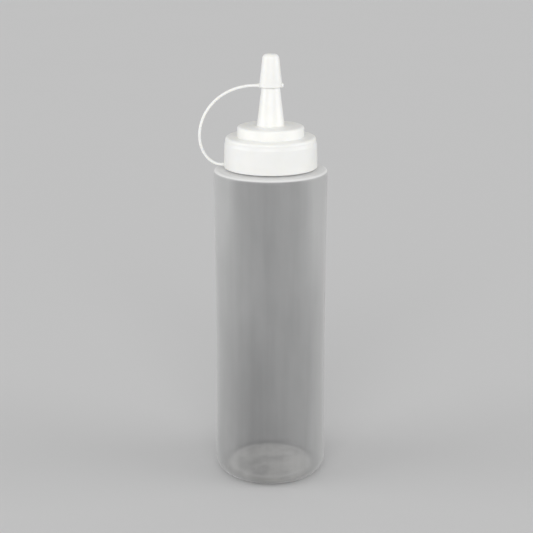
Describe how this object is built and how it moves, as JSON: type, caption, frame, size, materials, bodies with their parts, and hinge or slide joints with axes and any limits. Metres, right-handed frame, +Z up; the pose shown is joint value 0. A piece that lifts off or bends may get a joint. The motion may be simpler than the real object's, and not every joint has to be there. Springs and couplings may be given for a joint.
{
  "type": "squeeze bottle",
  "caption": "Translucent squeeze bottle for sauces, with a screw-on cone nozzle cap and a press-on tip cap tied to the collar by a moulded strap.",
  "frame": {"origin": "centre of the base on the bottle's own axis, in the plane that it stands on", "axes": "+Z up along the bottle's axis, -X towards the strap's bow, +Y away from the front view"},
  "size_m": [0.0562, 0.05, 0.1897],
  "materials": {
    "bottle_plastic": "natural translucent low-density polyethylene, smooth and slightly waxy, milky grey",
    "cap_plastic": "opaque white polyethylene with a faint warm cast, satin",
    "washer_foam": "white closed-cell foam liner, matt"
  },
  "bodies": {
    "bottle": {"bottle": "bottle_plastic"},
    "seal": {"seal_washer": "washer_foam"},
    "nozzle_cap": {"nozzle_cap": "cap_plastic", "tether_strap": "cap_plastic"},
    "tip_cap": {"tip_cap": "cap_plastic"}
  },
  "joints": [
    {"name": "cap_rise", "type": "slide", "parent": "bottle", "child": "seal", "axis": [0, 0, 1], "range_m": [0, 0.00424]},
    {"name": "cap_turn", "type": "hinge", "parent": "seal", "child": "nozzle_cap", "pos_m": [0, 0, 0.148], "axis": [0, 0, 1], "range_deg": [0, 360]},
    {"name": "tip_cap_lift", "type": "slide", "parent": "nozzle_cap", "child": "tip_cap", "axis": [0, 0, 1], "range_m": [0, 0.016], "deforming": ["tether_strap"]}
  ],
  "couplings": [
    {"joint": "cap_rise", "follows": "cap_turn", "m_per_rad": 0.00067322}
  ]
}
